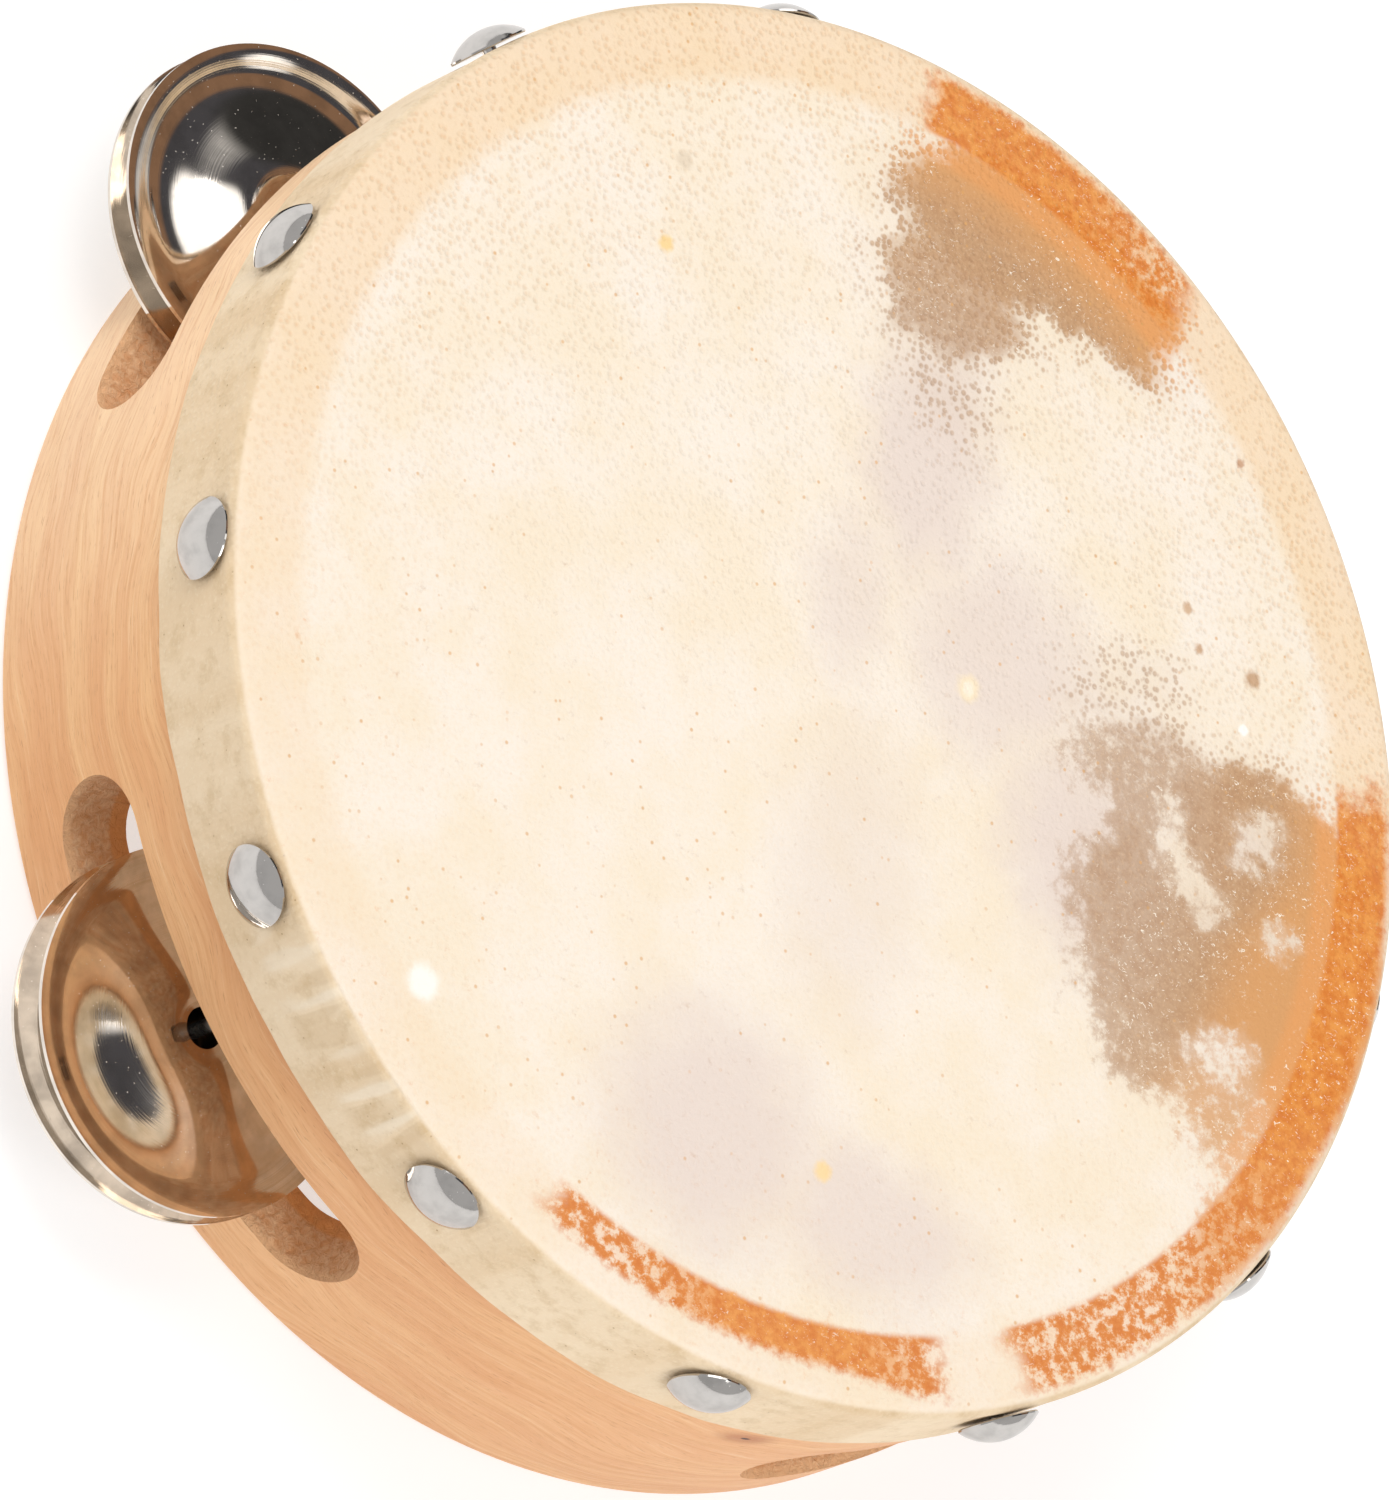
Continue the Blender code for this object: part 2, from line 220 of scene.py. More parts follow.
class Nodes:
    """Builds one node tree. Sockets and plain numbers can be mixed in every call."""

    def __init__(self, owner):
        owner.use_nodes = True
        self.tree = owner.node_tree

    def node(self, kind, **settings):
        made = self.tree.nodes.new(kind)
        for key, value in settings.items():
            setattr(made, key, value)
        return made

    def put(self, socket, value):
        if isinstance(value, bpy.types.NodeSocket):
            self.tree.links.new(value, socket)
        elif isinstance(value, tuple) and len(value) == 3 and socket.type == "RGBA":
            socket.default_value = (*value, 1.0)
        else:
            socket.default_value = value

    def math(self, operation, *values):
        made = self.node("ShaderNodeMath", operation=operation)
        for socket, value in zip(made.inputs, values):
            self.put(socket, value)
        return made.outputs[0]

    def vector(self, operation, *values):
        made = self.node("ShaderNodeVectorMath", operation=operation)
        for socket, value in zip(made.inputs, values):
            self.put(socket, value)
        single = operation in ("LENGTH", "DOT_PRODUCT")
        return made.outputs["Value" if single else "Vector"]

    def position(self):
        """The point on the piece, in millimetres."""
        coordinates = self.node("ShaderNodeTexCoord").outputs["Object"]
        return self.vector("MULTIPLY", coordinates, (1000.0, 1000.0, 1000.0))

    def split(self, vector):
        made = self.node("ShaderNodeSeparateXYZ")
        self.put(made.inputs[0], vector)
        return made.outputs[0], made.outputs[1], made.outputs[2]

    def join(self, x, y, z):
        made = self.node("ShaderNodeCombineXYZ")
        for socket, value in zip(made.inputs, (x, y, z)):
            self.put(socket, value)
        return made.outputs[0]

    def noise(self, vector, scale, detail=3.0, roughness=0.55, distortion=0.0, output="Fac"):
        made = self.node("ShaderNodeTexNoise")
        self.put(made.inputs["Vector"], vector)
        made.inputs["Scale"].default_value = scale
        made.inputs["Detail"].default_value = detail
        made.inputs["Roughness"].default_value = roughness
        made.inputs["Distortion"].default_value = distortion
        return made.outputs[output]

    def cells(self, vector, scale, randomness=1.0):
        """Distance to the nearest of a scatter of points."""
        made = self.node("ShaderNodeTexVoronoi")
        self.put(made.inputs["Vector"], vector)
        made.inputs["Scale"].default_value = scale
        made.inputs["Randomness"].default_value = randomness
        return made.outputs["Distance"]

    def step(self, value, low, high):
        """0 below low, 1 above high, smooth between; low may be above high."""
        made = self.node("ShaderNodeMapRange", interpolation_type="SMOOTHSTEP")
        self.put(made.inputs["Value"], value)
        made.inputs["From Min"].default_value = low
        made.inputs["From Max"].default_value = high
        return made.outputs["Result"]

    def scale_to(self, value, low, high):
        """A value from 0 to 1 spread from low to high."""
        made = self.node("ShaderNodeMapRange")
        self.put(made.inputs["Value"], value)
        made.inputs["To Min"].default_value = low
        made.inputs["To Max"].default_value = high
        return made.outputs["Result"]

    def mix(self, factor, a, b):
        """Colour a at factor 0, colour b at 1."""
        made = self.node("ShaderNodeMix", data_type="RGBA")
        self.put(made.inputs["Factor"], factor)
        self.put(made.inputs[6], a)
        self.put(made.inputs[7], b)
        return made.outputs[2]

    def product(self, *values):
        result = values[0]
        for value in values[1:]:
            result = self.math("MULTIPLY", result, value)
        return result

    def tint(self, base, color, *amounts):
        """A colour over a base, by the product of the amounts."""
        return self.mix(self.product(*amounts), base, color)

    def bump(self, height, distance):
        made = self.node("ShaderNodeBump")
        self.put(made.inputs["Height"], height)
        made.inputs["Distance"].default_value = distance
        made.inputs["Strength"].default_value = 1.0
        return made.outputs[0]

    def ellipse(self, vector, centre, radii, turn=0.0, soft=0.5):
        """1 inside an ellipse in the XY plane, falling to 0 at its edge."""
        made = self.node("ShaderNodeMapping", vector_type="TEXTURE")
        self.put(made.inputs["Vector"], vector)
        made.inputs["Location"].default_value = (*centre, 0.0)
        made.inputs["Rotation"].default_value = (0.0, 0.0, math.radians(turn))
        made.inputs["Scale"].default_value = (*radii, 1.0)
        flat = self.vector("MULTIPLY", made.outputs[0], (1.0, 1.0, 0.0))
        return self.step(self.vector("LENGTH", flat), 1.0, 1.0 - soft)

    def largest(self, values):
        result = values[0]
        for value in values[1:]:
            result = self.math("MAXIMUM", result, value)
        return result

    def set(self, **values):
        """Feed the shader's sockets: base_color is Base Color, specular Specular IOR Level."""
        inputs = self.tree.nodes["Principled BSDF"].inputs
        for name, value in values.items():
            label = "Specular IOR Level" if name == "specular" else name.replace("_", " ").title()
            self.put(inputs[label], value)


def srgb(red, green, blue):
    """Linear colour from 0-255 display values."""
    result = []
    for value in (red, green, blue):
        c = value / 255.0
        result.append(c / 12.92 if c <= 0.04045 else ((c + 0.055) / 1.055) ** 2.4)
    return tuple(result)


# ---------------------------------------------------------------- wood


def wood_pattern(n):
    """Grain that runs round the hoop: colour streaks and fine pores, drawn out along X and Y."""
    p = n.position()
    sway = n.noise(n.vector("MULTIPLY", p, (0.02, 0.02, 0.03)), 1.0, 2.0)
    x, y, z = n.split(p)
    level = n.math("ADD", z, n.math("MULTIPLY", sway, GRAIN_SWAY))
    swayed = n.join(x, y, level)

    def streaks(along, across, *settings):
        """Noise with a number of waves per mm round the hoop and another across its grain."""
        return n.noise(n.vector("MULTIPLY", swayed, (along, along, across)), 1.0, *settings)

    return p, streaks(0.02, 0.22, 4.0), streaks(0.1, 2.6, 5.0, 0.65), streaks(0.55, 8.0, 2.0)


def wood_material():
    material = bpy.data.materials.new("beech_wood")
    n = Nodes(material)
    p, broad, fine, pores = wood_pattern(n)
    x, y, z = n.split(p)
    base = n.mix(n.step(broad, 0.35, 0.65), srgb(243, 192, 134), srgb(230, 167, 110))
    # painted light makes the side towards -X+Y paler, ruddier towards -Y, painted shade darkens the
    # front strip towards -X-Y
    pale = n.step(n.math("SUBTRACT", y, x), 40.0, 105.0)
    ruddy = n.step(n.math("ADD", y, n.math("MULTIPLY", x, 0.3)), -30.0, -75.0)
    towards = n.math("ADD", n.math("MULTIPLY", x, -0.74), n.math("MULTIPLY", y, -0.67))
    painted_shade = n.math("MULTIPLY", n.step(towards, 66.0, 74.0), n.step(z, 24.0, 32.0))
    base = n.tint(base, srgb(252, 220, 182), pale, 0.75)
    base = n.tint(base, srgb(232, 178, 134), ruddy, 0.5)
    base = n.tint(base, srgb(212, 146, 94), painted_shade, 0.7)
    base = n.tint(base, srgb(214, 148, 94), n.step(fine, 0.42, 0.72), 0.5)
    base = n.tint(base, srgb(250, 216, 172), n.step(fine, 0.42, 0.3), 0.35)
    base = n.tint(base, srgb(178, 112, 64), n.step(pores, 0.6, 0.72), 0.5)
    # one small knot with a crack in the front strip
    centre = tuple(around(KNOT_ANGLE, HOOP_RADIUS, KNOT_LEVEL) / MM)
    off = n.vector("SUBTRACT", ragged(n, p, 0.5, 1.2), centre)
    near = n.vector("LENGTH", n.vector("MULTIPLY", off, (0.33, 0.33, 0.6)))
    base = n.tint(base, srgb(178, 104, 60), n.step(near, 1.6, 0.3), 0.7)
    base = n.mix(n.step(near, 0.24, 0.12), base, srgb(70, 34, 20))
    n.set(base_color=base, roughness=n.scale_to(fine, 0.4, 0.58), specular=0.35)
    n.set(normal=n.bump(n.math("ADD", fine, pores), 0.00006))
    return material


def slot_material():
    """Rough cut end grain inside the slots, lighter in a band along the outer face and more orange
    in a band along the inner face.
    """
    material = bpy.data.materials.new("slot_end_grain")
    n = Nodes(material)
    p = n.position()
    radius = n.vector("LENGTH", n.vector("MULTIPLY", p, (1.0, 1.0, 0.0)))
    rough = n.noise(n.vector("MULTIPLY", p, (1.0, 1.0, 1.6)), 1.1, 5.0, 0.7, 0.6)
    outer_face_band = n.step(radius, 73.6, 74.3)
    inner_face_band = n.step(radius, 69.4, 68.8)
    core = n.mix(n.step(rough, 0.3, 0.7), srgb(228, 166, 114), srgb(250, 208, 164))
    base = n.mix(outer_face_band, core, srgb(248, 200, 152))
    base = n.mix(inner_face_band, base, srgb(240, 172, 108))
    n.set(base_color=base, roughness=0.75)
    n.set(normal=n.bump(rough, 0.0005))
    return material


def slot_outline(half_angle):
    half_width = (SLOT_TOP - SLOT_BOTTOM) / 2
    middle = (SLOT_TOP + SLOT_BOTTOM) / 2
    reach = math.radians(half_angle) * HOOP_RADIUS - half_width
    along = [reach - 2 * reach * i / SLOT_SIDE_STEPS for i in range(1, SLOT_SIDE_STEPS)]
    outline = arc((reach, middle), half_width, -90, 90, SLOT_END_STEPS)
    outline += [(u, SLOT_TOP) for u in along]
    outline += arc((-reach, middle), half_width, 90, 270, SLOT_END_STEPS)
    outline += [(u, SLOT_BOTTOM) for u in reversed(along)]
    return outline


def slot_cutter(name, angle, half_angle):
    """Slot bent round the hoop, its walls along the radius: a loft between two curved outlines."""
    outline = slot_outline(half_angle)
    count = len(outline)
    first = SLOT_END_STEPS // 2
    bm = bmesh.new()
    rings = []
    for radius in (HOOP_RADIUS - HOOP_WALL - SLOT_CUT_MARGIN, HOOP_RADIUS + SLOT_CUT_MARGIN):
        points = [around(angle + math.degrees(u / HOOP_RADIUS), radius, z) for u, z in outline]
        rings.append([bm.verts.new(point) for point in points])
    for i in range(count):
        j = (i + 1) % count
        bm.faces.new((rings[0][i], rings[0][j], rings[1][j], rings[1][i]))
    for ring in rings:
        for k in range(count // 2):
            up, next_up = (first + k) % count, (first + k + 1) % count
            down, next_down = (first - k) % count, (first - k - 1) % count
            corners = dict.fromkeys((up, next_up, next_down, down))
            bm.faces.new([ring[i] for i in corners])
    bmesh.ops.recalc_face_normals(bm, faces=bm.faces)
    return mesh_object(name, bm)


def nail_hole(angle):
    """Stepped hole for a nail and its sunk head, open at the rear rim."""
    top = PIN_TOP + PIN_TIP_PLAY
    shank = PIN_RADIUS + PIN_SIDE_PLAY
    head = PIN_HEAD_RADIUS + PIN_HEAD_PLAY
    seat = PIN_HEAD_BOTTOM + PIN_HEAD_THICKNESS + PIN_SEAT_PLAY
    below = -2 * MM
    profile = [(0.0, top), (shank, top), (shank, seat), (head, seat), (head, below), (0.0, below)]
    hole = turned("nail_hole", profile, 32)
    hole.location = around(angle, WALL_MIDDLE, 0.0)
    return hole


def is_slot_wall(face):
    """True for a face across the hoop's wall, at a slot's height."""
    near = 0.02 * MM
    c = face.center
    radial = Vector((c.x, c.y, 0.0)).normalized()
    within_wall = HOOP_RADIUS - HOOP_WALL + near < math.hypot(c.x, c.y) < HOOP_RADIUS - near
    within_slot = SLOT_BOTTOM - 0.1 * MM <= c.z <= SLOT_TOP + 0.1 * MM
    return within_wall and within_slot and abs(face.normal.dot(radial)) < 0.5


def make_hoop():
    inner = HOOP_RADIUS - HOOP_WALL
    e = HOOP_EDGE_ROUND
    profile = arc((HOOP_RADIUS - e, HOOP_HEIGHT - e), e, 90, 0, 4)
    profile += arc((HOOP_RADIUS - e, e), e, 0, -90, 4)
    profile += arc((inner + e, e), e, -90, -180, 4)
    profile += arc((inner + e, HOOP_HEIGHT - e), e, 180, 90, 4)
    hoop = turned("hoop_wood", profile, HOOP_SEGMENTS)
    cutters = [slot_cutter(f"slot_{i}", *slot) for i, slot in enumerate(SLOTS)]
    cutters += [nail_hole(angle) for angle, *_ in JINGLE_PAIRS]
    for cutter in cutters:
        cut(hoop, cutter)
    bake(hoop)
    for cutter in cutters:
        bpy.data.objects.remove(cutter)
    hoop.data.materials.append(wood_material())
    hoop.data.materials.append(slot_material())
    for face in hoop.data.polygons:
        if is_slot_wall(face):
            face.material_index = 1
    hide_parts("hoop")
    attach(hoop, "hoop_body")


# ---------------------------------------------------------------- skin


# Where the hide is thin enough to show what lies behind it, in mm on the face: middle, half
# sizes, turn in degrees and strength
THIN_PATCHES = (
    ((13, 59), (17, 10), -8, 1.0),
    ((28, 57.5), (15, 9), -22, 1.0),
    ((9, 50), (13, 10), 0, 0.85),
    ((10, 41), (9, 10), 10, 0.52),
    ((57, 2), (18, 11), 0, 1.0),
    ((64, -9), (13, 22), 0, 1.0),
    ((52, -12), (15, 14), 0, 1.0),
    ((43, 5), (15, 10), -8, 0.66),
    ((37, 14), (12, 6), 20, 0.48),
    ((42, -11), (11, 16), 10, 0.88),
    ((45, -22), (9, 9), 0, 0.72),
    ((57, -26), (11, 10), 0, 0.62),
    ((60, -38), (7, 13), -30, 0.52),
)
# Cream blots inside them
PALE_BLOTS = (
    ((49, -5), (8, 5), -20, 0.62),
    ((56, 3), (7, 5), 30, 0.6),
    ((60, -7), (5, 4), 0, 0.5),
    ((45, 0), (4, 6), 0, 0.5),
    ((54, -21), (8, 5), 10, 0.4),
    ((33, -2), (6, 5), 0, 0.4),
)
# Faint grey areas, lit from behind by the open drum
GREY_AREAS = (
    ((-9, -51), (21, 20), 0, 1.0),
    ((12, -55), (20, 13), 0, 0.9),
    ((8, 30), (13, 20), 0, 1.0),
    ((20, 12), (18, 18), 0, 0.9),
    ((0, 12), (8, 14), 0, 0.7),
    ((32, -6), (14, 18), 20, 1.0),
    ((4, -18), (14, 26), 0, 0.45),
)
# Rim stretches where the hoop's front edge shows through, as (middle, half width) in degrees,
# and the stretches where cream hide is left in spots on them
ORANGE_ARCS = ((72.0, 15.5), (-26.5, 37.0), (-92.5, 20.5))
WORN_ARCS = ((-50.0, 20.0), (-68.0, 7.0), (-108.0, 10.0), (60.0, 5.0))
# Small marks: place in mm, size in mm and colour
MARKS = (
    ((-28, 42), 1.3, (246, 208, 138)),
    ((-27, 52), 1.4, (226, 208, 184)),
    ((44, 26), 0.9, (206, 168, 132)),
    ((46, 22), 0.8, (200, 160, 124)),
    ((53.5, 21), 1.4, (192, 150, 112)),
    ((49, 45), 0.7, (196, 150, 116)),
    ((53, 15), 0.9, (255, 252, 246)),
    ((-46, -47), 2.6, (254, 249, 242)),
    ((16.5, 7), 2.0, (246, 226, 190)),
    ((16.5, 7), 1.1, (250, 238, 218)),
    ((5, -51), 1.5, (248, 214, 152)),
)


def arc_window(n, turn, middle, half, soft):
    """1 within a stretch of the rim, for an angle in degrees from -180 to 180."""
    off = n.math("ABSOLUTE", n.math("SUBTRACT", turn, middle))
    return n.step(off, half + soft, half - soft)


def areas(n, vector, table, soft, grow=1.0):
    """The strongest of several soft ellipses at each point."""
    made = []
    for centre, (wide, tall), turn, strength in table:
        shape = n.ellipse(vector, centre, (wide * grow, tall * grow), turn, soft)
        made.append(n.math("MULTIPLY", shape, strength))
    return n.largest(made)


def ragged(n, vector, scale, reach):
    """The vector moved about by noise, to break up straight outlines."""
    moved = n.noise(vector, scale, 4.0, 0.62, output="Color")
    push = n.vector("SUBTRACT", moved, (0.5, 0.5, 0.5))
    return n.vector("ADD", vector, n.vector("MULTIPLY", push, (reach, reach, 0.0)))


class SkinPlaces:
    """Places and patterns on the skin that its layers of colour share, in mm and degrees.

    face is 1 on the face and 0 on the band, and bent is the flat place with ragged outlines.
    """

    def __init__(self, n):
        self.p = n.position()
        self.x, self.y, self.z = n.split(self.p)
        self.flat = n.join(self.x, self.y, 0.0)
        self.radius = n.vector("LENGTH", self.flat)
        self.turn = n.math("DEGREES", n.math("ARCTAN2", self.y, self.x))
        self.face = n.step(self.z, 42.75, 43.1)
        self.bent = ragged(n, self.flat, 0.18, 9.0)
        self.coarse = n.noise(self.flat, 0.06, 3.0, 0.6)
        self.mottle = n.noise(self.flat, 0.6, 5.0, 0.7)
        self.fine = n.noise(self.p, 2.2, 3.0, 0.6)
        self.pores = n.step(n.cells(self.p, 1.32, 0.78), 0.12, 0.62)


def hide_color(n, at):
    """Cream hide with yellower clouds, grey areas and pores, warmer where it lies on the hoop."""
    cream = n.mix(n.step(at.coarse, 0.35, 0.65), srgb(244, 233, 219), srgb(242, 227, 204))
    cream = n.tint(cream, srgb(240, 216, 180), n.step(at.fine, 0.4, 0.8), 0.3)
    base = n.tint(cream, srgb(229, 213, 202), areas(n, at.bent, GREY_AREAS, 0.75), 0.95)
    uneven_radius = n.math("ADD", at.radius, n.math("MULTIPLY", at.mottle, 2.5))
    warm = n.scale_to(n.step(at.y, -45.0, 45.0), 0.2, 0.6)
    base = n.tint(base, srgb(238, 205, 162), n.step(uneven_radius, 67.0, 70.0), warm)
    pore_amount = n.product(
        n.scale_to(n.step(at.radius, 30.0, 74.0), 0.04, 0.27),
        n.scale_to(n.step(at.y, -30.0, 40.0), 0.3, 1.0),
        n.scale_to(at.coarse, 0.5, 1.5),
    )
    return n.tint(base, srgb(222, 172, 116), n.math("SUBTRACT", 1.0, at.pores), pore_amount)


def add_thin_patches(n, at, base):
    """Thin patches: a soft veil, then the patch itself, broken into pores above and blots below."""
    blots = areas(n, ragged(n, at.flat, 0.25, 10.0), PALE_BLOTS, 0.9)
    patch = areas(n, at.bent, THIN_PATCHES, 0.62, 1.26)
    patch = n.math("SUBTRACT", patch, n.math("MULTIPLY", blots, 1.3))
    veil = areas(n, at.bent, THIN_PATCHES, 0.95, 1.3)
    base = n.tint(base, srgb(212, 189, 170), veil, 0.5, at.face)
    upper = n.step(at.y, 5.0, 14.0)
    by_pores = n.product(n.math("SUBTRACT", 0.5, at.pores), 0.6, upper)
    lower = n.math("SUBTRACT", 1.0, upper)
    by_mottle = n.product(n.math("SUBTRACT", at.mottle, 0.5), 2.1, lower)
    broken = n.math("ADD", by_pores, by_mottle)
    thin = n.step(n.math("ADD", patch, broken), 0.16, 0.66)
    behind = n.mix(n.step(at.radius, 42.0, 56.0), srgb(194, 164, 138), srgb(192, 150, 110))
    behind = n.tint(behind, srgb(170, 124, 86), n.step(at.mottle, 0.4, 0.62), 0.4)
    behind = n.tint(behind, srgb(222, 188, 150), n.step(at.fine, 0.5, 0.7), 0.35)
    # the colour turns to that of the hoop's edge towards the rim, further in towards -Y
    further_in = n.math("MULTIPLY", n.step(at.y, 4.0, -12.0), 6.0)
    near_rim = n.step(n.math("ADD", at.radius, further_in), 57.0, 66.0)
    behind = n.tint(behind, srgb(216, 154, 92), near_rim, 0.85)
    behind = n.tint(behind, srgb(228, 154, 86), n.step(at.radius, 63.4, 65.4), 0.7)
    depth = n.scale_to(n.step(patch, 0.2, 0.95), 0.5, 0.96)
    return thin, n.tint(base, behind, thin, depth, at.face)


def add_rim(n, at, base):
    """The hoop's front edge seen through the hide, with cream left on it in worn spots."""
    shake = n.math("SUBTRACT", n.noise(at.flat, 0.3, 4.0, 0.65), 0.5)
    turn = n.math("ADD", at.turn, n.math("MULTIPLY", shake, 8.0))
    arcs = n.largest([arc_window(n, turn, middle, half, 2.0) for middle, half in ORANGE_ARCS])
    worn = n.largest([arc_window(n, turn, middle, half, 6.0) for middle, half in WORN_ARCS])
    inner = n.math("ADD", at.radius, n.math("MULTIPLY", at.mottle, 0.9))
    # the outer edge is further in towards -Y
    pulled_in = n.math("MULTIPLY", arc_window(n, at.turn, -98.0, 22.0, 8.0), 2.6)
    outer = n.math("ADD", at.radius, n.math("ADD", pulled_in, n.math("MULTIPLY", at.mottle, 3.0)))
    kept = n.math("SUBTRACT", 1.0, n.product(n.step(at.mottle, 0.46, 0.6), worn, 0.8))
    orange = n.product(arcs, n.step(inner, 67.3, 68.2), n.step(outer, 76.6, 75.0), kept)
    wood = n.mix(n.step(at.mottle, 0.34, 0.66), srgb(212, 118, 40), srgb(230, 152, 72))
    return orange, n.tint(base, wood, orange, 0.95)


def add_marks(n, at, base, thin, orange):
    """Loose pale fibres over the thin places and the rim, single marks, and specks all over."""
    strands = n.noise(n.vector("MULTIPLY", at.flat, (1.0, 1.3, 1.0)), 1.5, 3.0, 0.6, 1.6)
    places = n.math("MAXIMUM", thin, n.math("MULTIPLY", orange, 0.6))
    fibres = n.product(n.step(strands, 0.61, 0.68), places, n.step(at.coarse, 0.36, 0.58))
    base = n.tint(base, srgb(252, 243, 226), fibres, 0.9)
    for place, size, color in MARKS:
        spot = n.ellipse(ragged(n, at.flat, 0.8, 1.2), place, (size, size), 0.0, 0.6)
        base = n.tint(base, srgb(*color), spot, 0.85)
    specks = n.step(n.cells(at.p, 0.5), 0.14, 0.06)
    chance = n.step(n.noise(at.p, 0.13, 2.0), 0.34, 0.6)
    return n.tint(base, srgb(218, 164, 100), specks, chance, 0.65)


def band_color(n, at):
    """Height of the puckers, and colour, of the gritty yellower band round the side, with painted
    highlights and painted shade along the puckers.
    """
    band = n.mix(n.step(at.coarse, 0.35, 0.65), srgb(238, 216, 184), srgb(226, 198, 160))
    cloud = n.noise(at.p, 0.35, 4.0, 0.65)
    band = n.tint(band, srgb(206, 176, 132), n.step(cloud, 0.45, 0.7), 0.5)
    band = n.tint(band, srgb(246, 232, 206), n.step(at.fine, 0.5, 0.8), 0.35)
    grit = n.step(n.cells(at.p, 1.1), 0.16, 0.07)
    band = n.tint(band, srgb(150, 108, 66), grit, n.step(cloud, 0.5, 0.65), 0.7)
    upright = n.join(n.math("MULTIPLY", at.turn, 0.5), 0.0, n.math("MULTIPLY", at.z, 0.07))
    pleat = n.noise(upright, 1.0, 1.0)
    puckered = n.product(arc_window(n, at.turn, -132.0, 12.0, 7.0), n.step(at.z, 33.0, 36.0))
    # painted highlights on the pucker crests and painted shade in their hollows
    band = n.tint(band, srgb(252, 240, 220), n.step(pleat, 0.52, 0.66), puckered, 0.42)
    band = n.tint(band, srgb(200, 168, 124), n.step(pleat, 0.48, 0.36), puckered, 0.3)
    off_face = n.math("SUBTRACT", 1.0, at.face)
    return n.product(pleat, puckered, off_face, 5.0), band


def skin_material():
    material = bpy.data.materials.new("rawhide")
    n = Nodes(material)
    at = SkinPlaces(n)
    thin, base = add_thin_patches(n, at, hide_color(n, at))
    orange, base = add_rim(n, at, base)
    base = add_marks(n, at, base, thin, orange)
    ridges, band = band_color(n, at)
    base = n.mix(at.face, band, base)
    n.set(base_color=base, roughness=n.scale_to(at.mottle, 0.45, 0.65), specular=0.3)
    hairs = n.noise(ragged(n, at.flat, 0.2, 3.0), 1.0, 2.0, 0.5, 2.0)
    height = n.product(at.pores, n.scale_to(n.step(at.y, -20.0, 30.0), 0.3, 1.0))
    height = n.math("ADD", height, n.math("MULTIPLY", at.fine, 0.6))
    height = n.math("ADD", height, n.math("MULTIPLY", hairs, 0.5))
    n.set(normal=n.bump(n.math("ADD", height, ridges), 0.00009))
    return material


def skin_profile():
    """Outer surface from the centre out and down, as (radius, height)."""
    bend = SKIN_BEND_RADIUS
    flat = SKIN_RADIUS - bend
    rings = [(0.0, SKIN_TOP)]
    rings += [(flat * i / SKIN_FACE_RINGS, SKIN_TOP) for i in range(1, SKIN_FACE_RINGS)]
    rings += arc((flat, SKIN_TOP - bend), bend, 90, 0, 8)
    straight = SKIN_BAND_HEIGHT - bend
    for i in range(1, SKIN_BAND_RINGS + 1):
        rings.append((SKIN_RADIUS, SKIN_TOP - bend - straight * i / SKIN_BAND_RINGS))
    return rings


def band_relief(angle, height, down):
    """How far the band stands out from its even radius: ripples, wrinkles and tack dents."""
    place = around(angle, 1.0, 0.0)
    ripple = noise.noise(Vector((place.x * 24.0, place.y * 24.0, height * 60.0)))
    relief = RIPPLE_HEIGHT * ripple * (1.0 - abs(2.0 * down - 1.0))
    for wrinkle in WRINKLES:
        across = math.exp(-(((angle - wrinkle) / WRINKLE_WIDTH) ** 2))
        relief += WRINKLE_HEIGHT * across * (1.0 - down) * smooth_rise(0.0, 0.2, down)
    here = around(angle, SKIN_RADIUS, height)
    for tack_angle, level in TACKS:
        off = (here - around(tack_angle, SKIN_RADIUS, level * MM)).length
        relief -= TACK_DENT_DEPTH * math.exp(-((off / TACK_DENT_RADIUS) ** 2))
    return relief


def make_skin():
    bm = bmesh.new()
    count = SKIN_SEGMENTS
    edge = SKIN_TOP - SKIN_BAND_HEIGHT
    top = bm.verts.new((0.0, 0.0, SKIN_TOP))
    grid = []
    for radius, height in skin_profile()[1:]:
        row = []
        down = smooth_rise(SKIN_TOP - 3 * MM, edge, height)
        for i in range(count):
            angle = 360.0 * i / count
            place = around(angle, 1.0, 0.0)
            wave = noise.noise(place * 5.0) * 0.7 + noise.noise(place * 14.0) * 0.25
            in_band = height < SKIN_TOP - SKIN_BEND_RADIUS
            out = radius + (band_relief(angle, height, down) if in_band else 0.0)
            row.append(bm.verts.new(around(angle, out, height + wave * MM * down)))
        grid.append(row)
    for i in range(count):
        bm.faces.new((top, grid[0][i], grid[0][(i + 1) % count]))
    for upper, lower in zip(grid, grid[1:]):
        for i in range(count):
            j = (i + 1) % count
            bm.faces.new((upper[i], lower[i], lower[j], upper[j]))
    skin = mesh_object("skin_head_hide", bm)
    solid = skin.modifiers.new("Thickness", "SOLIDIFY")
    solid.thickness = SKIN_THICKNESS
    solid.offset = -1.0
    solid.use_even_offset = True
    bake(skin, 50.0)
    skin.data.materials.append(skin_material())
    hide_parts("skin_head")
    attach(skin, "hoop_body")


# ---------------------------------------------------------------- metal


